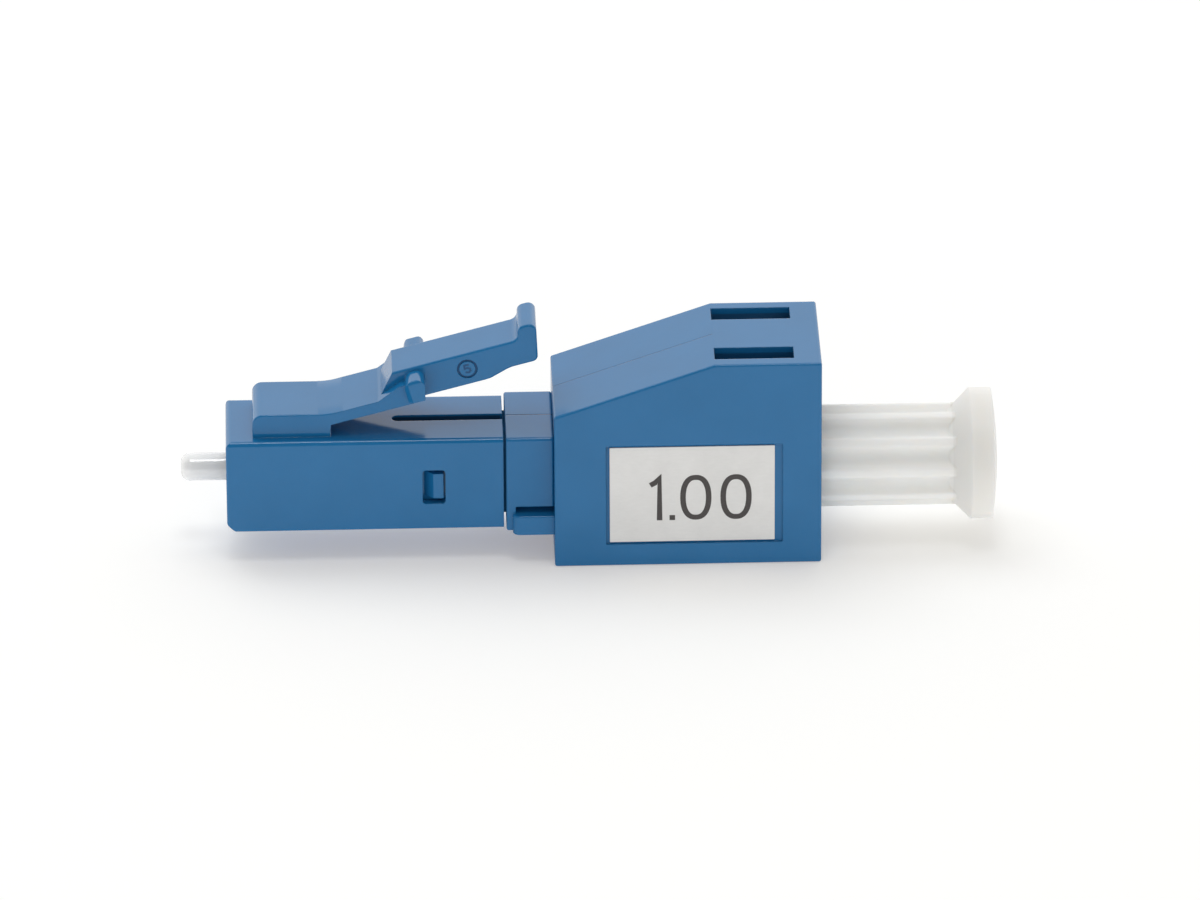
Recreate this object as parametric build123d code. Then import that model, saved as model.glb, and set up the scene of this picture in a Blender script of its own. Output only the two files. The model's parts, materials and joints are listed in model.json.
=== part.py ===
from build123d import *
import os
from math import asin, cos, degrees, radians, sin, tan

# Plug-in fibre attenuator with a small-form square plug at one end and a port for such a plug at
# the other. Millimetres. The origin is on the optical axis, in the plane of the plug's front face.
# +X runs along the axis towards the port, +Z is up, and the latch is on top.

# Clearances
running_gap = 0.01  # ferrule in its sleeve, on radius
press_gap = 0.002  # pieces that are pressed or glued together, on radius
slip_gap = 0.03  # moulded pieces that slide into each other, per side
hinge_gap = 0.015  # latch knuckle in its groove, on radius
spring_gap = 0.10  # flange's tail to the coil spring around it
spring_play = 0.05  # coil spring to the bore around it
ferrule_clearance = 0.095  # holes that the ferrule passes without touching, on radius
flange_play = 0.19  # flange's corners to the plug's inner walls
flange_room = 1.40  # free length behind the flange, where the ferrule floats
nose_play = 0.195  # plug's front bore around the sleeve holder of the port it goes into
spigot_clearance = 0.06  # spigot in the plug housing, per side
port_gap = 0.08  # port around a plug, per side
channel_clearance = 0.15  # port's latch channel around the latch that goes in
stem_gap = 0.04  # stopper's ridges to the port's walls
stopper_room = 0.35  # stopper's front end to the sleeve holder

# Ferrule and fibre
ferrule_radius = 0.6245
ferrule_reach = 2.03  # tip beyond the plug's front face
ferrule_setback = 0.09  # rear tip in front of the rear housing's front face
ferrule_round = 0.39  # rounding of each tip
fibre_radius = 0.0625
glue_groove_length = 0.60
glue_groove_depth = 0.17

# Flange that is pressed on the ferrule
flange_thickness = 1.40
flange_tail = 1.30
flange_bevel = 0.15

# Plug housing
plug_size = 4.50
plug_length = 12.41
plug_edge = 0.22
plug_wall = 0.44
nose_lip = 0.70
nose_catch = 0.15  # the lip's hold on the flange's flats
nose_bevel = 0.43  # along the lower front edge
nose_crown = 0.30  # along the upper front edge
nose_round = 0.14
slit_width = 0.56
slit_length = 4.96

# Window in each side of the plug housing, and the snap lug inside it
window_length = 1.02
window_height = 1.68
window_from_rear = 3.12
window_drop = 0.10
window_corner = 0.15
lug_play = 0.08
lug_height = 1.22
lug_flat = 0.45
lug_inset = 0.10  # the lug's face lies this far inside the plug's side

# Latch: root block, hinge and lever, with the lever's outline in its own straight frame
root_front = 1.21
root_length = 3.49
root_height = 1.11
root_width = 3.40
root_round = 0.46
root_edge = 0.07
lever_thickness = 0.52
lever_angle = 15.1
latch_press = 14.0  # degrees that the lever can be pressed down
mated_press = 2.5  # degrees that a port keeps it pressed
arm_end = 4.60
shelf_length = 1.20
ramp_length = 1.11
shelf_height = 0.72
tab_width = 2.36
tab_overlap = 2.20  # length of the tab's front part on the arm
tab_rise = 0.82
tab_height = 1.22
tab_length = 9.81
tab_edge = 0.11
relief_from_end = 1.46
relief_length = 0.87
relief_height = -0.01
relief_round = 1.60
lip_width = 0.66
lip_height = 0.61
heel_round = 0.28
ear_width = 4.56
ear_length = 0.95
ear_bottom = 0.03
ear_top = 1.05
ear_crown = 0.42  # upper front corner
ear_heel = 0.34  # upper rear corner
ear_edge = 0.16  # upper outer edge
ear_bevel = 0.22
mark_radius = 0.46
mark_from_end = 3.31
mark_line = 0.10
mark_depth = 0.06

# Core body: spigot, collar, feet and rear boss
spigot_length = 4.42
spigot_edge = 0.20
spigot_share = 0.52  # of the wall left beside the ferrule and spring; the flange's tail has the rest
collar_gap = 0.11
collar_side_step = 0.15
collar_top_step = 0.07
collar_length = 2.14
collar_edge = 0.16
collar_corner = 0.10
foot_length = 1.86
foot_height = 0.91
foot_reach = 0.38
foot_round = 0.32
foot_edge = 0.09
groove_length = 1.72
groove_height = 0.32
groove_depth = 0.60
boss_wall = 0.30
boss_length = 0.64
spring_seat = 0.65

# Coil spring
wire_radius = 0.15
spring_turns = 4.5

# Split sleeve and its holder
sleeve_length = 6.40
sleeve_wall = 0.18
sleeve_slot = 0.45
sleeve_behind = 2.65  # part of the sleeve that sits on this piece's own ferrule
holder_wall = 0.40
holder_float = 0.09
holder_lip = 0.35
holder_step = 0.20  # shoulder that fills the hole in the rear housing
holder_ledge = 0.195  # flange beyond that shoulder
holder_flange = 0.80

# Rear housing
housing_length = 11.95
side_wall = 0.83
bottom_wall = 1.43
roof_wall = 0.74
front_wall = 0.80  # between the core body's boss and the port
slope_step = 1.45
slope_length = 7.20
housing_edge = 0.11
port_bevel = 0.20
port_edge = 0.10
shoulder = 1.22
top_slot_length = 3.54
top_slot_width = 1.12
top_slot_inset = 0.30

# Label and its recess
recess_height = 4.92
recess_from_front = 2.31
recess_from_rear = 1.74
recess_drop = 0.23
recess_depth = 0.14
recess_corner = 0.06
label_margin = 0.10
label_left = 0.16
label_right = 0.36
label_thickness = 0.08
label_corner = 0.03

# Dust plug
stem_wall = 0.42
stem_exposed = 6.12
flute_count = 10
flute_depth = 0.34
flute_radius = 0.60
flute_turn = 4.5  # degrees that the ridges are turned from the level ones
ridge_round = 0.12
pilot_step = 0.10  # stem's front end, below the bottoms of the flutes
head_radius = 2.95
head_rim = 0.98
head_dome = 0.25

# Places and sizes that follow from the values above, from the front to the rear
plug_half = plug_size / 2
cavity_half = plug_half - plug_wall
spigot_half = cavity_half - spigot_clearance
collar_front = plug_length + collar_gap
housing_front = collar_front + collar_length
housing_rear = housing_front + housing_length
spigot_front = collar_front - spigot_length
flange_front = spigot_front - flange_room - flange_thickness
flange_corner = cavity_half - flange_play
nose_depth = flange_front - nose_lip
nose_lip_radius = flange_corner * cos(radians(30)) - nose_catch
spring_front = flange_front + flange_thickness
flange_bore = ferrule_radius + press_gap
walls_left = spigot_half - spring_play - 2 * wire_radius - spring_gap - flange_bore
spigot_bore_radius = spigot_half - spigot_share * walls_left
coil_radius = spigot_bore_radius - spring_play - wire_radius
flange_tail_radius = coil_radius - wire_radius - spring_gap
ferrule_rear = housing_front - ferrule_setback
ferrule_hole_radius = ferrule_radius + ferrule_clearance
window_middle = plug_length - window_from_rear

sleeve_inner = ferrule_radius + running_gap
sleeve_outer = sleeve_inner + sleeve_wall
sleeve_front = ferrule_rear - sleeve_behind
sleeve_rear = sleeve_front + sleeve_length
sleeve_room = sleeve_outer + holder_float
spring_rear = sleeve_front - slip_gap - spring_seat / 2
seat_rear = spring_rear + spring_seat
holder_outer = sleeve_room + holder_wall
holder_shoulder = holder_outer + holder_step
holder_flange_radius = holder_shoulder + holder_ledge
holder_rear = sleeve_rear + slip_gap + holder_lip
nose_bore_radius = holder_outer + nose_play

collar_width = plug_size + 2 * collar_side_step
collar_height = plug_size + 2 * collar_top_step
boss_rear = housing_front + boss_length
boss_size = 2 * (holder_flange_radius + boss_wall)
holder_flange_front = boss_rear - holder_flange

hinge_x = root_front + root_length
hinge_z = plug_half + root_height - lever_thickness / 2
arm_half = lever_thickness / 2
ear_front = arm_end - ear_length
ramp_end = arm_end - shelf_length
ramp_start = ramp_end - ramp_length
tab_front = arm_end - tab_overlap
lip_fillet = 0.69 * lip_height
lip_round = 0.49 * lip_width


def height_when_pressed(along, above, pressed):
    """Height of a point of the lever over the optical axis, pressed by some degrees."""
    angle = radians(lever_angle - pressed)
    return hinge_z + along * sin(angle) + above * cos(angle)


port_size = plug_size + 2 * port_gap
port_floor = boss_rear + front_wall
housing_width = port_size + 2 * side_wall
housing_half = housing_width / 2
housing_bottom = port_size / 2 + bottom_wall
shoulder_x = housing_rear - shoulder
roof_z = height_when_pressed(arm_end, ear_top, 0) + channel_clearance
housing_top = roof_z + roof_wall
slope_start = plug_half + slope_step
slope_end = housing_front + slope_length
slope_rise = (housing_top - slope_start) / slope_length
ear_floor = height_when_pressed(ear_front, ear_bottom, latch_press) - channel_clearance
ear_doorway = height_when_pressed(arm_end, ear_top, latch_press) + channel_clearance
arm_doorway = height_when_pressed(arm_end, shelf_height, mated_press) + channel_clearance
mated_angle = radians(lever_angle - mated_press)
port_depth = housing_rear - port_floor
tab_at_rear = (port_depth - hinge_x + tab_height * sin(mated_angle)) / cos(mated_angle)
tab_doorway = height_when_pressed(tab_at_rear, tab_height, mated_press) + channel_clearance

stem_crest_radius = port_size / 2 - stem_gap
stem_pilot_radius = stem_crest_radius - flute_depth - pilot_step
stem_front = holder_rear + stopper_room


def beam(x0, x1, width, height, edge=0.0):
    """A bar of rectangular section on the optical axis, with its long edges rounded."""
    bar = Pos((x0 + x1) / 2, 0, 0) * Box(x1 - x0, width, height)
    if edge > 0:
        bar = fillet(bar.edges().filter_by(Axis.X), edge)
    return bar


def rod(x0, x1, radius):
    """A round bar or bore along the optical axis."""
    return Pos((x0 + x1) / 2, 0, 0) * Rot(0, 90, 0) * Cylinder(radius, x1 - x0)


def block(x0, x1, y0, y1, z0, z1):
    """A plain block between two corners."""
    return Pos((x0 + x1) / 2, (y0 + y1) / 2, (z0 + z1) / 2) * Box(x1 - x0, y1 - y0, z1 - z0)


def side_plate(points, width):
    """A plate whose outline is drawn in X and Z, centred on Y = 0."""
    with BuildPart() as plate:
        with BuildSketch(Plane.XZ):
            with BuildLine():
                Polyline(*points, close=True)
            make_face()
        extrude(amount=width / 2, both=True)
    return plate.part


def corner(plate, x, z):
    """The edge across a plate that lies nearest to a point of its outline."""
    return plate.edges().filter_by(Axis.Y).sort_by_distance((x, 0, z))[0]


def make_ferrule():
    """Long ceramic ferrule: its front tip is the plug's, its rear tip waits in the sleeve.

    A groove under the flange takes the glue that holds it.
    """
    with BuildPart() as body:
        with BuildSketch(Plane.XZ):
            with BuildLine():
                FilletPolyline(
                    (-ferrule_reach, 0),
                    (-ferrule_reach, ferrule_radius),
                    (ferrule_rear, ferrule_radius),
                    (ferrule_rear, 0),
                    radius=ferrule_round,
                )
                Line((ferrule_rear, 0), (-ferrule_reach, 0))
            make_face()
        revolve(axis=Axis.X)
    groove_rear = flange_front + glue_groove_length
    groove = rod(flange_front, groove_rear, 2 * ferrule_radius)
    groove -= rod(flange_front, groove_rear, ferrule_radius - glue_groove_depth)
    return body.part - groove - rod(-ferrule_reach, ferrule_rear, fibre_radius + press_gap)


def make_fibre():
    """Doped fibre that weakens the light, glued in the ferrule's bore and polished flush."""
    return rod(-ferrule_reach, ferrule_rear, fibre_radius)


def make_flange():
    """Six-sided metal flange with a round tail that centres the spring."""
    with BuildPart() as body:
        with BuildSketch(Plane.YZ.offset(flange_front)):
            RegularPolygon(flange_corner, 6, rotation=30)
        extrude(amount=flange_thickness)
    hexagon = body.part
    round_off = rod(flange_front, spring_front, flange_corner)
    round_off = chamfer(round_off.edges().group_by(Axis.X)[0], flange_bevel)
    tail = rod(spring_front, spring_front + flange_tail, flange_tail_radius)
    bore = rod(flange_front, spring_front + flange_tail, flange_bore)
    return (hexagon & round_off) + tail - bore


def make_spring():
    """Coil spring between the flange and the core body's seat, with flat ground ends."""
    length = spring_rear - spring_front
    path = Helix(pitch=length / spring_turns, height=length, radius=coil_radius)
    profile = Plane(path @ 0, z_dir=path % 0) * Circle(wire_radius)
    coil = sweep(profile, path=path, is_frenet=True)
    coil = Pos(spring_front, 0, 0) * Rot(0, 90, 0) * coil
    coil -= rod(spring_front - 2 * wire_radius, spring_front, coil_radius + 2 * wire_radius)
    return coil - rod(spring_rear, spring_rear + 2 * wire_radius, coil_radius + 2 * wire_radius)


def make_sleeve():
    """Ceramic alignment sleeve, slit along its whole length so that it grips both ferrules."""
    tube = rod(sleeve_front, sleeve_rear, sleeve_outer) - rod(sleeve_front, sleeve_rear, sleeve_inner)
    slot = block(sleeve_front, sleeve_rear, -sleeve_slot / 2, sleeve_slot / 2, 0, sleeve_outer * 2)
    return tube - slot


def make_holder():
    """Flanged tube that traps the sleeve loosely and reaches into the port."""
    body = rod(seat_rear, holder_rear, holder_outer)
    body = chamfer(body.edges().group_by(Axis.X)[-1], holder_wall / 2)
    body += rod(holder_flange_front, boss_rear, holder_flange_radius)
    body += rod(boss_rear, port_floor, holder_shoulder)
    body -= rod(seat_rear, holder_rear - holder_lip, sleeve_room)
    body -= rod(holder_rear - holder_lip, holder_rear, ferrule_hole_radius)
    return body


def make_plug_housing():
    """Square plug shell with the latch's root block, side windows and a slit along its top."""
    bevel_top = nose_bevel - plug_half
    side_view = side_plate(
        [
            (plug_length, -plug_half),
            (nose_bevel, -plug_half),
            (0, bevel_top),
            (0, plug_half),
            (plug_length, plug_half),
        ],
        plug_size,
    )
    side_view = fillet(corner(side_view, 0, plug_half), nose_crown)
    side_view = fillet(corner(side_view, 0, bevel_top), nose_round)
    side_view = fillet(corner(side_view, nose_bevel, -plug_half), nose_round)
    top_view = beam(0, plug_length, plug_size, plug_size)
    top_view = fillet(top_view.edges().group_by(Axis.X)[0].filter_by(Axis.Z), nose_round)
    shell = beam(0, plug_length, plug_size, plug_size, plug_edge) & side_view & top_view
    shell -= rod(0, nose_depth, nose_bore_radius)
    shell -= rod(nose_depth, flange_front, nose_lip_radius)
    shell -= beam(flange_front, plug_length, 2 * cavity_half, 2 * cavity_half, spigot_edge)

    window = Pos(window_middle, 0, -window_drop) * Box(window_length, 2 * plug_size, window_height)
    window = fillet(window.edges().filter_by(Axis.Y), window_corner)
    shell -= window

    slit_front = plug_length - slit_length + slit_width / 2
    shell -= block(slit_front, plug_length, -slit_width / 2, slit_width / 2, 0, plug_size)
    shell -= Pos(slit_front, 0, plug_half) * Cylinder(slit_width / 2, 2 * cavity_half)

    root = block(root_front, hinge_x, -root_width / 2, root_width / 2, plug_half - plug_wall / 2,
                 plug_half + root_height)
    top_front = root.edges().filter_by(Axis.Y).sort_by(Axis.Z)[2:].sort_by(Axis.X)[0]
    root = fillet(top_front, root_round)
    root = fillet(root.edges().filter_by(Axis.X).group_by(Axis.Z)[-1], root_edge)
    knuckle_groove = Pos(hinge_x, 0, hinge_z) * Rot(90, 0, 0)
    root -= knuckle_groove * Cylinder(arm_half + hinge_gap, root_width)
    return shell + root


def make_lever():
    """Latch lever with two ears and a thumb lip, drawn straight and then raised to its angle."""
    arm = side_plate(
        [
            (0, -arm_half),
            (arm_end - tan(radians(lever_angle)) * (shelf_height + arm_half), -arm_half),
            (arm_end, shelf_height),
            (ramp_end, shelf_height),
            (ramp_start, arm_half),
            (0, arm_half),
        ],
        root_width,
    )
    knuckle = Rot(90, 0, 0) * Cylinder(arm_half, root_width)

    lean = tan(radians(lever_angle))
    lip_top = tab_height + lip_height
    with BuildPart() as tab_body:
        with BuildSketch(Plane.XZ):
            with BuildLine():
                Polyline(
                    (tab_front, 0),
                    (tab_front, arm_half),
                    (tab_front + tab_rise, tab_height),
                    (tab_length - lip_width, tab_height),
                    (tab_length - lip_width, lip_top),
                    (tab_length + lean * lip_top / 2, lip_top),
                    (tab_length - lean * tab_height / 2, relief_height),
                    (tab_length - relief_from_end, relief_height),
                    (tab_length - relief_from_end - relief_length, -arm_half),
                    (tab_front, -arm_half),
                    close=True,
                )
            make_face()
        extrude(amount=tab_width / 2, both=True)
    tab = tab_body.part
    tab = fillet(corner(tab, tab_length - lip_width, tab_height), lip_fillet)
    lip_corners = tab.edges().filter_by(Axis.Y).group_by(Axis.Z)[-1]
    tab = fillet(lip_corners, lip_round)
    tab = fillet(corner(tab, tab_length, relief_height), heel_round)
    tab = fillet(corner(tab, tab_length - relief_from_end, relief_height), relief_round)
    top_sides = [e for e in tab.edges().filter_by(Axis.X) if e.center().Z > tab_height / 2]
    tab = fillet(top_sides, tab_edge)

    lever = arm + knuckle + tab + make_ears()
    mark = Pos(tab_length - mark_from_end, 0, (tab_height - arm_half) / 2) * Rot(90, 0, 0)
    ring = Cylinder(mark_radius, 2 * mark_depth) - Cylinder(mark_radius - mark_line, 2 * mark_depth)
    lever -= Pos(0, -tab_width / 2, 0) * mark * ring
    return Pos(hinge_x, 0, hinge_z) * Rot(0, -lever_angle, 0) * lever


def make_ears():
    """The two ears that catch behind the shoulders of a port."""
    lean = tan(radians(lever_angle))
    heel_x = arm_end + lean * (ear_top - shelf_height)
    side_view = side_plate(
        [
            (ear_front, ear_bottom),
            (ear_front, ear_top),
            (heel_x, ear_top),
            (arm_end - lean * (shelf_height - ear_bottom), ear_bottom),
        ],
        ear_width,
    )
    side_view = fillet(corner(side_view, ear_front, ear_top), ear_crown)
    side_view = fillet(corner(side_view, heel_x, ear_top), ear_heel)
    top_view = block(ear_front, heel_x, -ear_width / 2, ear_width / 2, 0, ear_top)
    top_view = chamfer(top_view.edges().filter_by(Axis.Z).group_by(Axis.X)[0], ear_bevel)
    end_view = block(ear_front, heel_x, -ear_width / 2, ear_width / 2, 0, ear_top)
    end_view = fillet(end_view.edges().filter_by(Axis.X).group_by(Axis.Z)[-1], ear_edge)
    return side_view & top_view & end_view


def make_core():
    """Core body: the spigot that the plug housing snaps on, the collar and the rear boss."""
    body = beam(spigot_front, housing_front, 2 * spigot_half, 2 * spigot_half, spigot_edge)
    collar = beam(collar_front, housing_front, collar_width, collar_height, collar_edge)
    collar = fillet(collar.edges().group_by(Axis.X)[0], collar_corner)
    collar = fillet(collar.edges().group_by(Axis.X)[-1], collar_corner)
    body += collar
    body += beam(housing_front, boss_rear, boss_size, boss_size, spigot_edge)

    lug_rear = window_middle + window_length / 2 - lug_play
    lug_front = window_middle - window_length / 2 + lug_play
    lug_out = plug_half - lug_inset
    with BuildPart() as lugs:
        with BuildSketch(Plane.XY):
            with BuildLine():
                Polyline(
                    (lug_front, 0),
                    (lug_front, spigot_half),
                    (lug_rear - lug_flat, lug_out),
                    (lug_rear, lug_out),
                    (lug_rear, 0),
                    close=True,
                )
            make_face()
            mirror(about=Plane.XZ)
        extrude(amount=lug_height / 2, both=True)
    body += Pos(0, 0, -window_drop) * lugs.part

    foot_top = -collar_height / 2 + foot_height
    for side in (-1, 1):
        y_wall = side * collar_width / 2
        foot = block(
            housing_front - foot_length, housing_front,
            min(y_wall - side * collar_edge, y_wall + side * foot_reach),
            max(y_wall - side * collar_edge, y_wall + side * foot_reach),
            -collar_height / 2, foot_top,
        )
        outer = foot.edges().filter_by(Axis.Z).group_by(Axis.X)[0].sort_by(Axis.Y)[0 if side < 0 else -1]
        foot = fillet(outer, foot_round)
        rim = foot.faces().sort_by(Axis.Z)[-1].edges().sort_by(Axis.Y)[0 if side < 0 else -1]
        foot = fillet(rim, foot_edge)
        body += foot
        body -= block(
            housing_front - groove_length, housing_front,
            min(y_wall - side * groove_depth, y_wall + side * foot_reach),
            max(y_wall - side * groove_depth, y_wall + side * foot_reach),
            foot_top, foot_top + groove_height,
        )

    body -= rod(spigot_front, spring_rear, spigot_bore_radius)
    body -= rod(spring_rear, sleeve_front - slip_gap, ferrule_hole_radius)
    body -= rod(sleeve_front - slip_gap, seat_rear, sleeve_room)
    body -= rod(seat_rear, boss_rear, holder_outer + press_gap)
    body -= rod(holder_flange_front, boss_rear, holder_flange_radius + press_gap)
    return body


def make_rear_housing():
    """Rear housing: the port, its latch channel under a sloping roof, and the label's recess."""
    body = side_plate(
        [
            (housing_front, -housing_bottom),
            (housing_rear, -housing_bottom),
            (housing_rear, housing_top),
            (slope_end, housing_top),
            (housing_front, slope_start),
        ],
        housing_width,
    )
    body = fillet(body.edges(), housing_edge)

    body -= beam(housing_front, boss_rear, boss_size + 2 * press_gap, boss_size + 2 * press_gap,
                 spigot_edge)
    body -= rod(boss_rear, port_floor, holder_shoulder + press_gap)
    body -= beam(port_floor, housing_rear, port_size, port_size, port_edge)
    mouth_size = port_size + 2 * port_bevel
    mouth = Plane.YZ.offset(housing_rear) * Rectangle(mouth_size, mouth_size)
    throat = Plane.YZ.offset(housing_rear - port_bevel) * Rectangle(port_size, port_size)
    body -= loft([throat, mouth])

    root_top = plug_half + root_height + channel_clearance
    slope_meets = housing_front + (root_top + roof_wall - slope_start) / slope_rise
    arm_outline = [
        (port_floor, 0),
        (port_floor, root_top),
        (max(slope_meets, port_floor + root_front), root_top),
        (slope_end, roof_z),
        (shoulder_x, roof_z),
        (shoulder_x, arm_doorway),
        (housing_rear, arm_doorway),
        (housing_rear, 0),
    ]
    body -= side_plate(arm_outline, root_width + 2 * channel_clearance)
    ear_half = ear_width / 2 + channel_clearance
    ear_channel_front = slope_end - channel_clearance
    body -= block(ear_channel_front, shoulder_x, -ear_half, ear_half, ear_floor, roof_z)
    body -= block(shoulder_x, housing_rear, -ear_half, ear_half, ear_floor, ear_doorway)
    tab_half = tab_width / 2 + channel_clearance
    body -= block(shoulder_x, housing_rear, -tab_half, tab_half, 0, tab_doorway)

    for side in (-1, 1):
        y0 = side * (ear_width / 2 - top_slot_inset) - top_slot_width / 2
        body -= block(shoulder_x - top_slot_length, shoulder_x, y0, y0 + top_slot_width,
                      ear_floor, housing_top * 2)
    recess_length = housing_length - recess_from_front - recess_from_rear
    recess_middle = housing_front + recess_from_front + recess_length / 2
    recess = Pos(recess_middle, -housing_half, -recess_drop) * Box(
        recess_length, 2 * recess_depth, recess_height
    )
    body -= fillet(recess.edges().filter_by(Axis.Y), recess_corner)
    return body


def make_label():
    """Thin sticker on the floor of the recess in the side, towards its front end."""
    label_front = housing_front + recess_from_front + label_left
    label_rear = housing_rear - recess_from_rear - label_right
    label_half = recess_height / 2 - label_margin
    y_floor = -housing_half + recess_depth
    sticker = block(label_front, label_rear, y_floor - label_thickness, y_floor,
                    -recess_drop - label_half, -recess_drop + label_half)
    return fillet(sticker.edges().filter_by(Axis.Y), label_corner)


def make_dust_plug():
    """Hollow fluted stopper in the port, with a coned and domed head to pull it by."""
    cone_start = housing_rear + stem_exposed
    cone_end = cone_start + head_radius - stem_crest_radius
    cone_root = cone_start - flute_depth - pilot_step
    rim_end = cone_end + head_rim
    head_end = rim_end + head_dome
    dome_radius = (head_radius**2 + head_dome**2) / (2 * head_dome)
    dome_angle = degrees(asin(head_radius / dome_radius))
    with BuildPart() as body:
        with BuildSketch(Plane.XZ):
            with BuildLine():
                dome = CenterArc((head_end - dome_radius, 0), dome_radius, 0, dome_angle)
                Polyline(
                    dome @ 1,
                    (cone_end, head_radius),
                    (cone_root, stem_pilot_radius),
                    (stem_front, stem_pilot_radius),
                    (stem_front, 0),
                    dome @ 0,
                )
            make_face()
        revolve(axis=Axis.X)
    ridges_front = stem_front + stem_wall
    with BuildPart() as column:
        with BuildSketch(Plane.YZ.offset(ridges_front)) as section:
            Circle(stem_crest_radius)
            with PolarLocations(stem_crest_radius - flute_depth + flute_radius, flute_count):
                Circle(flute_radius, mode=Mode.SUBTRACT)
            fillet(section.vertices(), ridge_round)
        extrude(amount=cone_start - ridges_front)
    ridges = Rot(180 / flute_count - flute_turn, 0, 0) * column.part
    hollow = rod(stem_front, cone_start - stem_wall, stem_pilot_radius - stem_wall)
    return body.part + ridges - hollow


PIECES = {
    "ferrule": make_ferrule,
    "attenuating_fibre": make_fibre,
    "ferrule_flange": make_flange,
    "spring": make_spring,
    "split_sleeve": make_sleeve,
    "sleeve_holder": make_holder,
    "plug_housing": make_plug_housing,
    "latch_lever": make_lever,
    "core_body": make_core,
    "rear_housing": make_rear_housing,
    "label": make_label,
    "dust_plug": make_dust_plug,
}

os.makedirs("parts", exist_ok=True)
for node_name, make in PIECES.items():
    export_step(make(), f"parts/{node_name}.step")
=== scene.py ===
import json
from collections import namedtuple
from math import cos, pi, radians, sin, tan

import bmesh
import bpy
from mathutils import Matrix, Vector


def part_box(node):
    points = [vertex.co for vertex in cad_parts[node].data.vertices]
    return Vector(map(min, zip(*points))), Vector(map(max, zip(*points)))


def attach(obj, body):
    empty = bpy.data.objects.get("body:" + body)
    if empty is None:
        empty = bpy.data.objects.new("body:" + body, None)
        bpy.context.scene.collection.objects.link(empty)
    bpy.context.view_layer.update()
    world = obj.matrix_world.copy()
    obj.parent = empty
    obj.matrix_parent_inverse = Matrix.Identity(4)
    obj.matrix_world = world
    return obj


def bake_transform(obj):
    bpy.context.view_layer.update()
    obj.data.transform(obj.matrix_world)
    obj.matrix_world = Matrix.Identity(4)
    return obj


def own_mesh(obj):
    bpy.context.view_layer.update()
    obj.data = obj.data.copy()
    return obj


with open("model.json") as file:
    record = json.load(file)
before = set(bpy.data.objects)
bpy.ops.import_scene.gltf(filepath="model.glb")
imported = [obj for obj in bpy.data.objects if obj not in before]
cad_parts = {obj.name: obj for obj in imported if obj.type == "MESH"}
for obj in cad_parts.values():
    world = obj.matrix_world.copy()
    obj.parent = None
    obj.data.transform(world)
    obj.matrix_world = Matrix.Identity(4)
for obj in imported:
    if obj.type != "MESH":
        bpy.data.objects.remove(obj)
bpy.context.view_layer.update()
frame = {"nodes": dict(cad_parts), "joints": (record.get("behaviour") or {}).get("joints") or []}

# The looks of a plug-in fibre attenuator: the materials of its solids, the number on its label, a skin over
# the bend of its latch, the mark on the latch, and the floor, light and camera. Lengths are in millimetres,
# and MM turns them into Blender's metres.

nodes = frame["nodes"]
joints = {joint["name"]: joint for joint in frame["joints"]}
MM = 0.001


# Shader helpers

NOISE_LOW, NOISE_HIGH = 0.3, 0.7  # nearly all of a noise lies between these two
EDGE_SAMPLES = 6
MIX_FACTOR, MIX_A, MIX_B, MIX_RESULT = 0, 6, 7, 2  # places of a Mix node's colour sockets

# A layer of bumps: the socket of its height, its strength and its depth
Relief = namedtuple("Relief", "height strength depth")


def new_material(name):
    """A node material with its Principled shader and the object's own coordinates in millimetres."""
    mat = bpy.data.materials.new(name)
    mat.use_nodes = True
    tree = mat.node_tree
    shader = tree.nodes["Principled BSDF"]
    coords = tree.nodes.new("ShaderNodeTexCoord")
    scale = tree.nodes.new("ShaderNodeMapping")
    scale.inputs["Scale"].default_value = (1 / MM, 1 / MM, 1 / MM)
    tree.links.new(coords.outputs["Object"], scale.inputs["Vector"])
    return mat, tree, shader, scale.outputs["Vector"]


def noise(tree, vector, per_mm, detail, roughness, stretch=None):
    """Noise of a given grain, stretched along an axis if asked."""
    if stretch:
        mapping = tree.nodes.new("ShaderNodeMapping")
        mapping.inputs["Scale"].default_value = stretch
        tree.links.new(vector, mapping.inputs["Vector"])
        vector = mapping.outputs["Vector"]
    node = tree.nodes.new("ShaderNodeTexNoise")
    node.inputs["Scale"].default_value = per_mm
    node.inputs["Detail"].default_value = detail
    node.inputs["Roughness"].default_value = roughness
    tree.links.new(vector, node.inputs["Vector"])
    return node.outputs["Fac"]


def tones(tree, value, dark, light, low=NOISE_LOW, high=NOISE_HIGH):
    """Colour that runs from dark to light as the value goes from low to high."""
    node = tree.nodes.new("ShaderNodeValToRGB")
    for element, place, colour in zip(node.color_ramp.elements, (low, high), (dark, light)):
        element.position = place
        element.color = (*colour, 1.0)
    tree.links.new(value, node.inputs["Fac"])
    return node.outputs["Color"]


def span(tree, value, low, high, out_low, out_high):
    """A value remapped from one range to another and clamped."""
    node = tree.nodes.new("ShaderNodeMapRange")
    for name, number in zip(("From Min", "From Max", "To Min", "To Max"), (low, high, out_low, out_high)):
        node.inputs[name].default_value = number
    tree.links.new(value, node.inputs["Value"])
    return node.outputs["Result"]


def calc(tree, operation, a, b=None):
    """One Math node on sockets or plain numbers."""
    node = tree.nodes.new("ShaderNodeMath")
    node.operation = operation
    for socket, item in zip(node.inputs, (a, b)):
        if isinstance(item, (int, float)):
            socket.default_value = item
        elif item is not None:
            tree.links.new(item, socket)
    return node.outputs["Value"]


def weighted(tree, a, b, share):
    """Sum of two noises, in which the second has the given share."""
    return calc(tree, "ADD", calc(tree, "MULTIPLY", a, 1 - share), calc(tree, "MULTIPLY", b, share))


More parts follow.
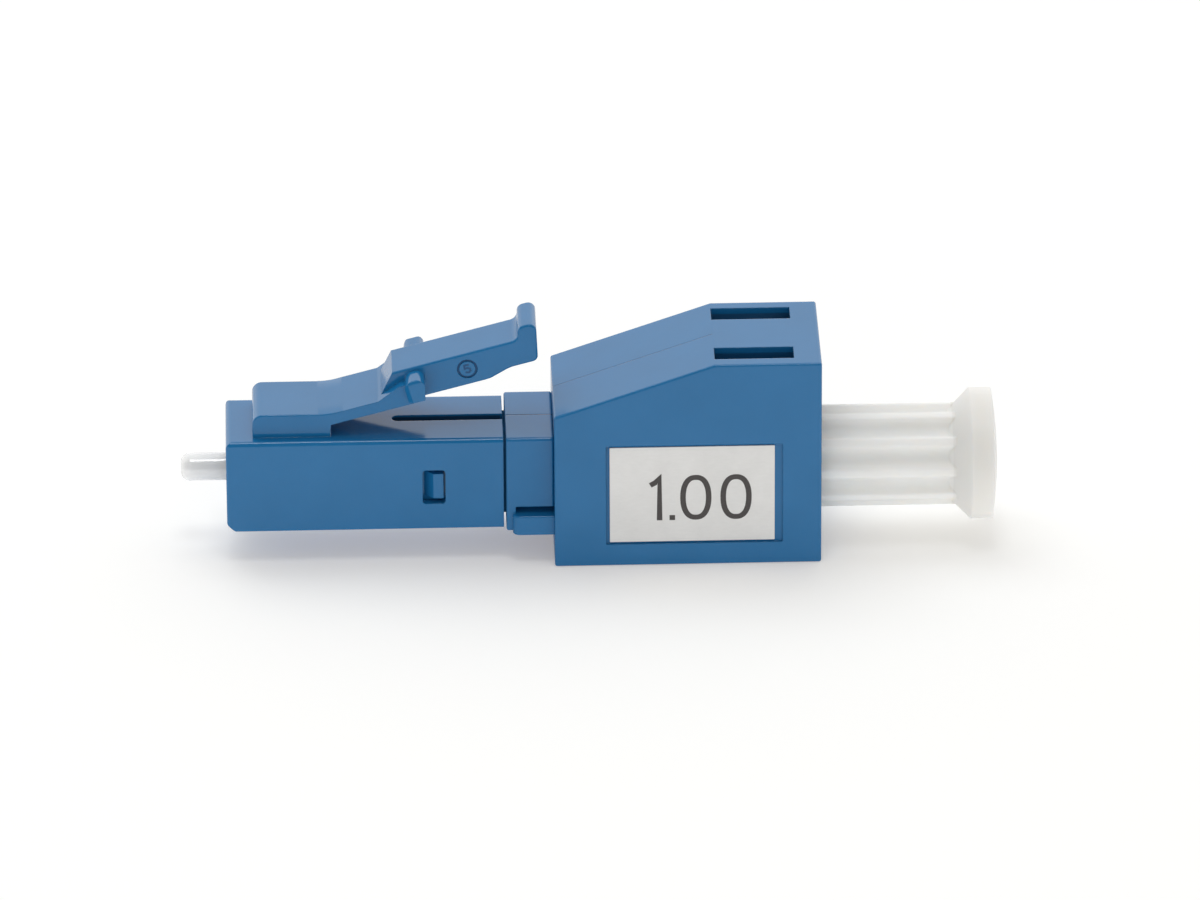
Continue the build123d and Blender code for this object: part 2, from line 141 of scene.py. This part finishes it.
def mix(tree, factor, a, b):
    """Mixes two colours, each a socket or a tuple, by a factor socket."""
    node = tree.nodes.new("ShaderNodeMix")
    node.data_type = "RGBA"
    for place, item in ((MIX_FACTOR, factor), (MIX_A, a), (MIX_B, b)):
        if isinstance(item, tuple):
            node.inputs[place].default_value = (*item, 1.0)
        else:
            tree.links.new(item, node.inputs[place])
    return node.outputs[MIX_RESULT]


def darker(colour, tone):
    """A colour times a tone."""
    return tuple(tone * channel for channel in colour)


def tint(tree, shader, value, dark, light, low=NOISE_LOW, high=NOISE_HIGH):
    """Lets the base colour follow a value from dark to light."""
    tree.links.new(tones(tree, value, dark, light, low, high), shader.inputs["Base Color"])


def roughen(tree, shader, value, low, high):
    """Lets the roughness follow a noise from low to high."""
    tree.links.new(span(tree, value, NOISE_LOW, NOISE_HIGH, low, high), shader.inputs["Roughness"])


def scatter(shader, weight, spread, depth):
    """Light that scatters below the surface: its weight, its spread by colour, and how deep it goes."""
    shader.inputs["Subsurface Weight"].default_value = weight
    shader.inputs["Subsurface Radius"].default_value = spread
    shader.inputs["Subsurface Scale"].default_value = depth * MM


def emboss(tree, shader, layers, soft=0.0):
    """Chains the layers' bumps, on edges rounded in the shading by the radius soft if one is given."""
    normal = None
    if soft:
        bevel = tree.nodes.new("ShaderNodeBevel")
        bevel.samples = EDGE_SAMPLES
        bevel.inputs["Radius"].default_value = soft * MM
        normal = bevel.outputs["Normal"]
    for layer in layers:
        node = tree.nodes.new("ShaderNodeBump")
        node.inputs["Strength"].default_value = layer.strength
        node.inputs["Distance"].default_value = layer.depth * MM
        tree.links.new(layer.height, node.inputs["Height"])
        if normal is not None:
            tree.links.new(normal, node.inputs["Normal"])
        normal = node.outputs["Normal"]
    tree.links.new(normal, shader.inputs["Normal"])


# Moulded plastic

BEYOND = 40.0  # a coordinate that lies outside the part
FADE = 0.05  # width of a painted shade's soft limit, and half width of a parting line
SKIN_SHARE = 0.2  # of the tone, from the fine moulded skin
ROUGHNESS_SWING = 0.03
PLASTIC_IOR = 1.5
PLASTIC_SPREAD = (1.0, 0.9, 0.8)
PARTING_CORE = 0.015  # half width of the darkest part of a parting line
PARTING_TONE = 0.4
PARTING_DEPTH = 0.02
LEVEL_FROM, LEVEL_TO = 0.5, 0.8  # upward part of the normal, over which a face comes to count as a top

# A box of painted shade, in which surfaces have their dark colour times a tone, and are at least as rough as
# matte says
PaintedShade = namedtuple("PaintedShade", "tone matte low_x high_x half_width low_z high_z",
                   defaults=(-BEYOND, BEYOND, BEYOND, -BEYOND, BEYOND))

# The mould's parting line along the middle of the top, as far as an X
Parting = namedtuple("Parting", "end_x strength")


def inside_shade(tree, axes, shade):
    """1 in a painted shade's box, and fading out around it."""
    off_centre = calc(tree, "ABSOLUTE", axes.outputs["Y"])
    inside = span(tree, off_centre, shade.half_width, shade.half_width + FADE, 1.0, 0.0)
    for axis, low, high in (("X", shade.low_x, shade.high_x), ("Z", shade.low_z, shade.high_z)):
        along = axes.outputs[axis]
        inside = calc(tree, "MULTIPLY", inside, span(tree, along, low - FADE, low, 0.0, 1.0))
        inside = calc(tree, "MULTIPLY", inside, span(tree, along, high, high + FADE, 1.0, 0.0))
    return inside


def on_parting_line(tree, axes, end_x):
    """1 on the middle line of faces that look up, as far as end_x."""
    off_centre = calc(tree, "ABSOLUTE", axes.outputs["Y"])
    line = span(tree, off_centre, PARTING_CORE, FADE, 1.0, 0.0)
    before_end = span(tree, axes.outputs["X"], end_x, end_x + FADE, 1.0, 0.0)
    facing = tree.nodes.new("ShaderNodeSeparateXYZ")
    geometry = tree.nodes.new("ShaderNodeNewGeometry")
    tree.links.new(geometry.outputs["True Normal"], facing.inputs["Vector"])
    upward = span(tree, facing.outputs["Z"], LEVEL_FROM, LEVEL_TO, 0.0, 1.0)
    return calc(tree, "MULTIPLY", calc(tree, "MULTIPLY", line, upward), before_end)


def moulded_plastic(name, light, dark, roughness, parting=None, painted_shades=(), translucent=0.0, depth=0.5,
                    soft=0.05):
    """Injection-moulded plastic: faint clouds of tone, a fine skin and slow ripples, and painted shade in the
    given boxes.
    """
    mat, tree, shader, place = new_material(name)
    clouds = noise(tree, place, per_mm=0.35, detail=4.0, roughness=0.55)
    skin = noise(tree, place, per_mm=26.0, detail=2.0, roughness=0.6)
    ripple = noise(tree, place, per_mm=0.45, detail=2.0, roughness=0.5)
    colour = tones(tree, weighted(tree, clouds, skin, SKIN_SHARE), dark, light, low=0.32, high=0.68)
    rough = span(tree, clouds, NOISE_LOW, NOISE_HIGH,
                 roughness - ROUGHNESS_SWING, roughness + ROUGHNESS_SWING)
    layers = [Relief(ripple, strength=0.20, depth=0.015), Relief(skin, strength=0.10, depth=0.004)]
    axes = tree.nodes.new("ShaderNodeSeparateXYZ")
    tree.links.new(place, axes.inputs["Vector"])
    # Painted shade: in each box the colour goes to the dark colour times the box's tone
    for shade in painted_shades:
        inside = inside_shade(tree, axes, shade)
        colour = mix(tree, inside, colour, darker(dark, shade.tone))
        rough = calc(tree, "MAXIMUM", rough, calc(tree, "MULTIPLY", inside, shade.matte))
    if parting:
        line = on_parting_line(tree, axes, parting.end_x)
        colour = mix(tree, calc(tree, "MULTIPLY", line, parting.strength), colour, darker(dark, PARTING_TONE))
        layers.append(Relief(calc(tree, "SUBTRACT", 1.0, line), parting.strength, PARTING_DEPTH))
    tree.links.new(colour, shader.inputs["Base Color"])
    tree.links.new(rough, shader.inputs["Roughness"])
    emboss(tree, shader, layers, soft)
    shader.inputs["IOR"].default_value = PLASTIC_IOR
    if translucent:
        scatter(shader, translucent, PLASTIC_SPREAD, depth)
    return mat


# The other materials

CERAMIC_IOR = 2.1
CERAMIC_SPREAD = (1.0, 1.0, 1.0)
CERAMIC_DEPTH = 0.5
CERAMIC_EDGE = 0.15
ROUND_THE_AXIS = (1.0, 0.06, 0.06)  # stretch that turns a noise into rings
FIBRE_IOR = 1.46
FIBRE_CLEARNESS = 0.8
TOOTH_SHARE = 0.3  # of the label's tone, from the fibres of its surface


def ceramic(name, light, dark, roughness, translucent, rings_per_mm):
    """Dense white ceramic: faint clouds, fine grinding rings along the axis."""
    mat, tree, shader, place = new_material(name)
    tint(tree, shader, noise(tree, place, per_mm=1.2, detail=3.0, roughness=0.5), dark, light)
    rings = noise(tree, place, rings_per_mm, detail=2.0, roughness=0.5, stretch=ROUND_THE_AXIS)
    roughen(tree, shader, rings, roughness, roughness + 0.08)
    emboss(tree, shader, [Relief(rings, strength=0.05, depth=0.003)], CERAMIC_EDGE)
    shader.inputs["IOR"].default_value = CERAMIC_IOR
    scatter(shader, translucent, CERAMIC_SPREAD, CERAMIC_DEPTH)
    return mat


def metal(name, light, dark, roughness, marks_per_mm, stretch):
    """Machined or drawn metal with tool marks along one direction."""
    mat, tree, shader, place = new_material(name)
    marks = noise(tree, place, marks_per_mm, detail=3.0, roughness=0.6, stretch=stretch)
    tint(tree, shader, marks, dark, light)
    roughen(tree, shader, marks, roughness - 0.05, roughness + 0.08)
    emboss(tree, shader, [Relief(marks, strength=0.15, depth=0.004)])
    shader.inputs["Metallic"].default_value = 1.0
    return mat


def glass_fibre(name):
    """Polished glass strand with a faint lengthwise haze."""
    mat, tree, shader, place = new_material(name)
    haze = noise(tree, place, per_mm=6.0, detail=2.0, roughness=0.5, stretch=(0.1, 1.0, 1.0))
    tint(tree, shader, haze, dark=(0.62, 0.68, 0.74), light=(0.80, 0.85, 0.90))
    roughen(tree, shader, haze, 0.04, 0.10)
    shader.inputs["Transmission Weight"].default_value = FIBRE_CLEARNESS
    shader.inputs["IOR"].default_value = FIBRE_IOR
    return mat


def film(name):
    """Matt white label film: paper tooth and a trace of unevenness in tone."""
    mat, tree, shader, place = new_material(name)
    clouds = noise(tree, place, per_mm=0.5, detail=4.0, roughness=0.6)
    tooth = noise(tree, place, per_mm=9.0, detail=3.0, roughness=0.6, stretch=(0.35, 1.0, 1.0))
    tint(tree, shader, weighted(tree, clouds, tooth, TOOTH_SHARE),
         dark=(0.74, 0.73, 0.705), light=(0.83, 0.82, 0.795))
    roughen(tree, shader, tooth, 0.48, 0.60)
    emboss(tree, shader, [Relief(clouds, strength=0.10, depth=0.02),
                          Relief(tooth, strength=0.10, depth=0.004)])
    return mat


def ink(name):
    """Thermal print: dark warm grey, a little lighter where it is thin."""
    mat, tree, shader, place = new_material(name)
    thin = noise(tree, place, per_mm=14.0, detail=2.0, roughness=0.7)
    tint(tree, shader, thin, dark=(0.055, 0.048, 0.045), light=(0.085, 0.074, 0.070), low=0.25, high=0.8)
    roughen(tree, shader, thin, 0.50, 0.62)
    return mat


# The solids and their materials

PLUG_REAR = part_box("plug_housing")[1].x / MM
HOUSING_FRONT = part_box("rear_housing")[0].x / MM
HOUSING_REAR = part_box("rear_housing")[1].x / MM
STOPPER_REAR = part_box("dust_plug")[1].x / MM
SLOPE_END = HOUSING_FRONT + 7.14  # just in front of the upper end of the rear housing's slope

BLUE = {"light": (0.012, 0.157, 0.371), "dark": (0.009, 0.142, 0.338)}
# The darker blue of the latch mark's painted shade
MARK_PAINTED_SHADE_BLUE = {"light": (0.007, 0.080, 0.215), "dark": (0.006, 0.068, 0.185)}
STOPPER_WHITE = {"light": (0.92, 0.908, 0.87), "dark": (0.88, 0.868, 0.83)}
NATURAL = {"light": (0.82, 0.81, 0.76), "dark": (0.76, 0.75, 0.70)}
FERRULE_WHITE = {"light": (0.86, 0.858, 0.848), "dark": (0.82, 0.82, 0.81)}
SLEEVE_WHITE = {"light": (0.82, 0.82, 0.80), "dark": (0.77, 0.77, 0.75)}
TURNED_GREY = {"light": (0.66, 0.66, 0.64), "dark": (0.50, 0.50, 0.49)}
WIRE_GREY = {"light": (0.62, 0.62, 0.61), "dark": (0.44, 0.44, 0.43)}

# Boxes of painted shade: the dark insides of the plug's slit and the housing's port, and the dark faces of
# the gap between plug and collar
SLIT_PAINTED_SHADE = PaintedShade(tone=0.40, matte=0.8, low_x=PLUG_REAR - 5.81, high_x=PLUG_REAR - 0.11, half_width=0.5,
                    low_z=1.4, high_z=2.15)
PLUG_REAR_PAINTED_SHADE = PaintedShade(tone=1.0, matte=0.8, low_x=PLUG_REAR)
UNDER_SLIT_PAINTED_SHADE = PaintedShade(tone=0.40, matte=0.8, high_x=PLUG_REAR - 0.01, low_z=1.6)
COLLAR_FRONT_PAINTED_SHADE = PaintedShade(tone=1.0, matte=0.8, low_x=PLUG_REAR - 0.11, high_x=PLUG_REAR + 0.12)
PORT_PAINTED_SHADE = PaintedShade(tone=0.60, matte=0.5, low_x=SLOPE_END, high_x=HOUSING_REAR - 0.21, half_width=2.85,
                    low_z=-3.0, high_z=5.9)
# Painted shade that makes the stopper's head a little darker
STOPPER_HEAD_PAINTED_SHADE = PaintedShade(tone=0.93, matte=0.0, low_x=STOPPER_REAR - 2.02)


def paint(node, material):
    """Gives a solid its material."""
    slots = nodes[node].data.materials
    slots.clear()
    slots.append(material)


paint("plug_housing", moulded_plastic("plug_blue", **BLUE, roughness=0.09,
                                      painted_shades=[SLIT_PAINTED_SHADE, PLUG_REAR_PAINTED_SHADE]))
latch_blue = moulded_plastic("latch_blue", **BLUE, roughness=0.16)
paint("latch_lever", latch_blue)
paint("core_body", moulded_plastic("core_blue", **BLUE, roughness=0.18,
                                   parting=Parting(end_x=15.0, strength=1.0),
                                   painted_shades=[UNDER_SLIT_PAINTED_SHADE, COLLAR_FRONT_PAINTED_SHADE]))
paint("rear_housing", moulded_plastic("housing_blue", **BLUE, roughness=0.22,
                                      parting=Parting(end_x=SLOPE_END, strength=0.5),
                                      painted_shades=[PORT_PAINTED_SHADE], soft=0.09))
paint("dust_plug", moulded_plastic("stopper_white", **STOPPER_WHITE, roughness=0.42,
                                   painted_shades=[STOPPER_HEAD_PAINTED_SHADE], translucent=0.8, depth=0.8, soft=0.12))
paint("sleeve_holder", moulded_plastic("holder_natural", **NATURAL, roughness=0.40, translucent=0.25))
paint("ferrule", ceramic("ferrule_ceramic", **FERRULE_WHITE, roughness=0.10, translucent=0.8,
                         rings_per_mm=30.0))
paint("split_sleeve", ceramic("sleeve_ceramic", **SLEEVE_WHITE, roughness=0.22, translucent=0.4,
                              rings_per_mm=18.0))
paint("attenuating_fibre", glass_fibre("doped_glass"))
paint("ferrule_flange", metal("flange_turned", **TURNED_GREY, roughness=0.30, marks_per_mm=22.0,
                              stretch=(1.0, 0.05, 0.05)))
paint("spring", metal("spring_drawn", **WIRE_GREY, roughness=0.28, marks_per_mm=12.0,
                      stretch=(1.0, 1.0, 1.0)))
paint("label", film("label_film"))


# Flat strokes, for the number and the mark

NEAR_SIDE = Vector((0, -1, 0))
SHARPEST_MITRE = 0.5


def add_object(name, data):
    """A new object with this data, linked to the scene."""
    made = bpy.data.objects.new(name, data)
    bpy.context.scene.collection.objects.link(made)
    return made


def add_piece(name, mesh, material):
    """An object made from a scratch mesh, with one material."""
    data = bpy.data.meshes.new(name)
    mesh.to_mesh(data)
    mesh.free()
    data.materials.append(material)
    return add_object(name, data)


def add_print(name, mesh, material, body):
    """A piece whose faces all look to the near side, and which rides on a body."""
    for face in mesh.faces:
        face.normal_update()
        if face.normal.dot(NEAR_SIDE) < 0:
            face.normal_flip()
    piece = add_piece(name, mesh, material)
    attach(piece, body)


def ring(count, point):
    """Points round a closed line, each worked out from its angle."""
    return [point(2 * pi * k / count) for k in range(count)]


def ribbon(mesh, points, closed, width, to_place):
    """A flat stroke along the points as one strip of quads, mitred at its corners."""
    points = [Vector(point) for point in points]
    count = len(points)
    rims = []
    for k, here in enumerate(points):
        ways = []
        if closed or k > 0:
            ways.append((here - points[k - 1]).normalized())
        if closed or k < count - 1:
            ways.append((points[(k + 1) % count] - here).normalized())
        way = sum(ways, Vector((0, 0))).normalized()
        across = Vector((-way.y, way.x)) * width / 2 / max(SHARPEST_MITRE, way.dot(ways[0]))
        rims.append([mesh.verts.new(to_place(here + side * across)) for side in (1, -1)])
    ends = rims + rims[:1] if closed else rims
    for (a, b), (c, d) in zip(ends, ends[1:]):
        mesh.faces.new([a, b, d, c])


# A plain number on the label, in strokes of one width with square ends

LABEL_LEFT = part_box("label")[0].x / MM
LABEL_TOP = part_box("label")[1].z / MM
LABEL_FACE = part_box("label")[0].y / MM
STROKE = 0.25
PRINT_LIFT = 0.004
NUMBER_DROP = 1.41  # from the label's upper edge to the number's
NUMBER_HEIGHT = 2.25
UPPER_LINE = LABEL_TOP - NUMBER_DROP - STROKE / 2  # centre lines of the glyphs' upper and lower strokes
LOWER_LINE = LABEL_TOP - NUMBER_DROP - NUMBER_HEIGHT + STROKE / 2
ONE_LEFT, POINT_LEFT, ZERO_LEFT, LAST_ZERO_LEFT = 1.77, 2.67, 3.15, 4.95  # from the label's left edge
ONE_STEM = 0.455
ONE_FLAG = ((0.04, 0.36), (0.26, 0.24), (ONE_STEM, 0.02))  # X, and drop from the top
ZERO_WIDTH = 1.40
ZERO_POINTS = 48
ZERO_FLATTENING = (0.82, 0.90)  # powers that make the ring of a zero squarer than an ellipse


def one_line():
    """Centre line of the digit 1, in X from its left edge and Z."""
    return [(x, UPPER_LINE - drop) for x, drop in ONE_FLAG] + [(ONE_STEM, LOWER_LINE - STROKE / 2)]


def point_line():
    """Centre line of the decimal point, which is as tall as a stroke is wide."""
    return [(STROKE / 2, LOWER_LINE - STROKE / 2), (STROKE / 2, LOWER_LINE + STROKE / 2)]


def flattened(value, power):
    """A sine or cosine raised to a power, with its sign kept."""
    return abs(value) ** power * (1 if value >= 0 else -1)


def zero_line():
    """Centre line of the digit 0, which closes."""
    middle, half_height = (UPPER_LINE + LOWER_LINE) / 2, (UPPER_LINE - LOWER_LINE) / 2
    half_width = (ZERO_WIDTH - STROKE) / 2
    across, upright = ZERO_FLATTENING
    return ring(ZERO_POINTS, lambda angle: (ZERO_WIDTH / 2 + half_width * flattened(cos(angle), across),
                                            middle + half_height * flattened(sin(angle), upright)))


def label_number():
    """The number 1.00, printed on the label's face."""
    mesh = bmesh.new()
    glyphs = ((ONE_LEFT, one_line(), False), (POINT_LEFT, point_line(), False),
              (ZERO_LEFT, zero_line(), True), (LAST_ZERO_LEFT, zero_line(), True))
    for left, line, closed in glyphs:
        ribbon(mesh, line, closed, STROKE,
               lambda p: Vector((LABEL_LEFT + left + p.x, LABEL_FACE - PRINT_LIFT, p.y)) * MM)
    add_print("label_number", mesh, ink("number_ink"), "body")


label_number()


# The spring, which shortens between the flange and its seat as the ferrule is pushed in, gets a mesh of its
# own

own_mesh(nodes["spring"])


# The skin of the latch's root, a sheet curved over the place where the solids have a knuckle

HINGE_X, _, HINGE_Z = (length / MM for length in joints["latch_press"]["pos_m"])
ARM_HALF = 0.26
ARM_SLOPE = radians(15.1)
ROOT_HALF_WIDTH = 1.70
ROOT_BOTTOM = 2.62  # lower edge of the skin on the root's side
BEND_RADIUS = 3.4
SKIN_LIFT = 0.004
SKIN_FRONT, SKIN_REAR = 4.15, 5.25
SKIN_STEPS = 44
FRONT_EDGE, REAR_EDGE = 0.07, 0.03  # radius of the skin's upper edges at its two ends
EDGE_TURNS = (22.5, 45.0, 67.5)  # degrees round those edges, where the skin has a line of points


def skin_top(x):
    """Height of the root's top, which turns into the sloping arm along an arc."""
    corner_x = HINGE_X - ARM_HALF * tan(ARM_SLOPE / 2)
    level = HINGE_Z + ARM_HALF
    along = x - (corner_x - BEND_RADIUS * tan(ARM_SLOPE / 2))
    if along <= 0:
        return level
    if along < BEND_RADIUS * sin(ARM_SLOPE):
        return level + BEND_RADIUS - (BEND_RADIUS**2 - along**2) ** 0.5
    return level + (x - corner_x) * tan(ARM_SLOPE)


def skin_bottom(x):
    """Height of the skin's lower edge: on the root's side, then along the arm's underside."""
    if x <= HINGE_X:
        return ROOT_BOTTOM
    underside = HINGE_Z - ARM_HALF / cos(ARM_SLOPE) + (x - HINGE_X) * tan(ARM_SLOPE)
    return max(underside, HINGE_Z - ARM_HALF)


def skin_row(share):
    """One cross-section of the skin in Y and Z, from side to side, and its X, at a share of its length."""
    x = SKIN_FRONT + (SKIN_REAR - SKIN_FRONT) * share
    side, top, bottom = ROOT_HALF_WIDTH + SKIN_LIFT, skin_top(x) + SKIN_LIFT, skin_bottom(x)
    edge = FRONT_EDGE * (1 - share) + REAR_EDGE * share
    half = [(side, bottom), (side, (bottom + top) / 2), (side, top - edge)]
    for turn in EDGE_TURNS:
        half.append((side - edge * (1 - cos(radians(turn))), top - edge * (1 - sin(radians(turn)))))
    half += [(side - edge, top), (side / 2, top)]
    return x, half + [(0.0, top)] + [(-y, z) for y, z in reversed(half)]


def latch_root_skin():
    """One sheet over the top and both sides of the bend."""
    mesh = bmesh.new()
    rows = []
    for k in range(SKIN_STEPS + 1):
        x, outline = skin_row(k / SKIN_STEPS)
        rows.append([mesh.verts.new(Vector((x, y, z)) * MM) for y, z in outline])
    for front, rear in zip(rows, rows[1:]):
        for a, b, c, d in zip(front, front[1:], rear[1:], rear):
            mesh.faces.new([a, b, c, d]).smooth = True
    bmesh.ops.recalc_face_normals(mesh, faces=mesh.faces)
    middle_row = rows[SKIN_STEPS // 2]
    if middle_row[len(middle_row) // 2].link_faces[0].normal.z < 0:
        bmesh.ops.reverse_faces(mesh, faces=mesh.faces)
    skin = add_piece("latch_root_skin", mesh, latch_blue)
    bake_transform(skin)


latch_root_skin()


# The mark in the latch's near side, drawn as lines of painted shade: a ring and a plain digit

MARK_ALONG, MARK_ABOVE = 6.50, 0.48  # its centre, from the hinge, in the lever's own directions
MARK_FACE, MARK_FLOOR = -1.18, -1.12  # Y of the latch's side, and of the floor of the ring's groove
MARK_LIFT = 0.003
MARK_LINE = 0.09
MARK_RADIUS = 0.41
MARK_POINTS = 40
MARK_ROUGHNESS = 0.60
FIVE = [(0.12, 0.19), (-0.09, 0.19), (-0.11, 0.02), (0.02, 0.05), (0.12, -0.02), (0.12, -0.12),
        (0.02, -0.19), (-0.12, -0.15)]


def on_latch(depth):
    """Places a flat point, given from the mark's centre in the lever's own directions, at a depth in Y."""
    def place(p):
        along, above = MARK_ALONG + p.x, MARK_ABOVE + p.y
        x = HINGE_X + along * cos(ARM_SLOPE) - above * sin(ARM_SLOPE)
        z = HINGE_Z + along * sin(ARM_SLOPE) + above * cos(ARM_SLOPE)
        return Vector((x, depth - MARK_LIFT, z)) * MM
    return place


def latch_mark():
    """The ring of painted shade lies on the floor of its groove, and the digit of painted shade on the
    latch's side.
    """
    mesh = bmesh.new()
    circle = ring(MARK_POINTS, lambda angle: (MARK_RADIUS * cos(angle), MARK_RADIUS * sin(angle)))
    ribbon(mesh, circle, True, MARK_LINE, on_latch(MARK_FLOOR))
    ribbon(mesh, FIVE, False, MARK_LINE, on_latch(MARK_FACE))
    # Painted shade: the mark's ring and digit are dark strokes of the latch's blue
    mark_painted_shade = moulded_plastic("mark_painted_shade", **MARK_PAINTED_SHADE_BLUE, roughness=MARK_ROUGHNESS, soft=0.0)
    add_print("latch_mark", mesh, mark_painted_shade, "latch")


latch_mark()


# Floor

FLOOR_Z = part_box("rear_housing")[0].z
FLOOR_REACH = 1.2  # metres
FLOOR_ROUGHNESS = 0.9
FLOOR_GLOW, FLOOR_GLOW_MIRRORED = 0.25, 0.08
FLOOR_GREY = (0.93, 0.93, 0.93)
FLOOR_GREY_SEEN = (0.755, 0.79, 0.81)
GLOW_WHITE = (1.0, 1.0, 1.0)
GLOW_WHITE_SEEN = (1.14, 1.0, 0.86)


def pale_floor():
    """A pale floor with a faint glow, both tinted for the camera so that its shadows look neutral."""
    data = bpy.data.meshes.new("floor")
    corners = [(FLOOR_REACH * x, FLOOR_REACH * y, FLOOR_Z) for x, y in ((-1, -1), (1, -1), (1, 1), (-1, 1))]
    data.from_pydata(corners, [], [(0, 1, 2, 3)])
    floor = add_object("floor", data)
    mat = bpy.data.materials.new("floor_pale")
    mat.use_nodes = True
    tree = mat.node_tree
    shader = tree.nodes["Principled BSDF"]
    shader.inputs["Roughness"].default_value = FLOOR_ROUGHNESS
    shader.inputs["Specular IOR Level"].default_value = 0.0
    ray = tree.nodes.new("ShaderNodeLightPath").outputs
    colour = mix(tree, ray["Is Camera Ray"], FLOOR_GREY, FLOOR_GREY_SEEN)
    tree.links.new(colour, shader.inputs["Base Color"])
    glow_colour = mix(tree, ray["Is Camera Ray"], GLOW_WHITE, GLOW_WHITE_SEEN)
    tree.links.new(glow_colour, shader.inputs["Emission Color"])
    glow = span(tree, ray["Is Glossy Ray"], 0.0, 1.0, FLOOR_GLOW, FLOOR_GLOW_MIRRORED)
    tree.links.new(glow, shader.inputs["Emission Strength"])
    data.materials.append(mat)


pale_floor()


# World and lamps

HORIZON_BLUR = 0.25  # the world goes from its front to its rear strength between minus this and this in Y
LIGHT_FRONT, LIGHT_REAR = 0.44, 0.88
MIRRORED_FRONT, MIRRORED_REAR = 0.10, 1.35
LEFT_FROM, LEFT_SHARE = -0.5, 0.86  # from this far left, reflections have this share of their strength
WHITE = (1.0, 1.0, 1.0)
MIDDLE_X = 16.3  # of the part, which the lamps face


def studio_world():
    """Soft light from all round, stronger from behind, with a white background for the camera."""
    world = bpy.data.worlds.new("studio")
    bpy.context.scene.world = world
    world.use_nodes = True
    tree = world.node_tree
    background = tree.nodes["Background"]
    ray = tree.nodes.new("ShaderNodeLightPath").outputs
    direction = tree.nodes.new("ShaderNodeTexCoord")
    compass = tree.nodes.new("ShaderNodeSeparateXYZ")
    tree.links.new(direction.outputs["Generated"], compass.inputs["Vector"])
    behind = span(tree, compass.outputs["Y"], -HORIZON_BLUR, HORIZON_BLUR, 0.0, 1.0)
    lighting = span(tree, behind, 0.0, 1.0, LIGHT_FRONT, LIGHT_REAR)
    mirrored = span(tree, behind, 0.0, 1.0, MIRRORED_FRONT, MIRRORED_REAR)
    from_left = span(tree, compass.outputs["X"], LEFT_FROM, 0.0, LEFT_SHARE, 1.0)
    mirrored = calc(tree, "MULTIPLY", mirrored, from_left)
    seen = calc(tree, "MAXIMUM", ray["Is Camera Ray"], ray["Is Transmission Ray"])
    strength = mix(tree, ray["Is Glossy Ray"], lighting, mirrored)
    strength = mix(tree, seen, strength, WHITE)
    background.inputs["Strength"].default_value = 1.0
    tree.links.new(strength, background.inputs["Color"])


def softbox(name, away, size, level, mirrored=True):
    """Square area lamp, in metres from the part's middle, which it faces.

    level is its irradiance there on a surface that faces it, over pi.
    """
    away = Vector(away)
    lamp = bpy.data.lights.new(name, "AREA")
    lamp.shape = "SQUARE"
    lamp.size = size
    lamp.energy = level * pi * pi * away.length_squared
    holder = add_object(name, lamp)
    holder.location = Vector((MIDDLE_X * MM, 0, 0)) + away
    holder.rotation_euler = away.to_track_quat("Z", "Y").to_euler()
    holder.visible_glossy = mirrored


studio_world()
softbox("key_behind", away=(-0.08, 0.15, 0.35), size=0.26, level=0.25, mirrored=False)
softbox("fill_front", away=(-0.04, -0.50, -0.01), size=0.50, level=0.21, mirrored=False)
softbox("overhead", away=(0.0, -0.095, 0.49), size=0.12, level=0.11)


# Camera, fitted to the photograph

YAW, PITCH, ROLL = radians(-1.60), radians(27.06), radians(-0.30)
DISTANCE = 539.8
ACROSS, UPWARD = 16.78, 0.72  # where the middle of the view passes the origin
PHOTO_WIDTH = 1200
PIXELS_PER_MM = 22.273  # in the photograph, at the origin's distance
SENSOR_WIDTH = 36.0
CLIP_NEAR, CLIP_FAR = 0.01, 10.0  # metres


def add_camera():
    """The photograph's view: the camera looks along forward, with right and up turned by its roll."""
    forward = Vector((-sin(YAW) * cos(PITCH), cos(YAW) * cos(PITCH), -sin(PITCH)))
    level_right = Vector((cos(YAW), sin(YAW), 0))
    level_up = level_right.cross(forward)
    right = cos(ROLL) * level_right + sin(ROLL) * level_up
    up = cos(ROLL) * level_up - sin(ROLL) * level_right
    eye = ACROSS * right + UPWARD * up - DISTANCE * forward
    data = bpy.data.cameras.new("camera")
    data.sensor_fit = "HORIZONTAL"
    data.sensor_width = SENSOR_WIDTH
    data.lens = PIXELS_PER_MM * DISTANCE / PHOTO_WIDTH * SENSOR_WIDTH
    data.clip_start = CLIP_NEAR
    data.clip_end = CLIP_FAR
    camera = add_object("camera", data)
    turn = Matrix((right, up, -forward)).transposed()
    camera.matrix_world = Matrix.Translation(eye * MM) @ turn.to_4x4()
    bpy.context.scene.camera = camera


add_camera()
bpy.context.scene.view_settings.view_transform = "Standard"
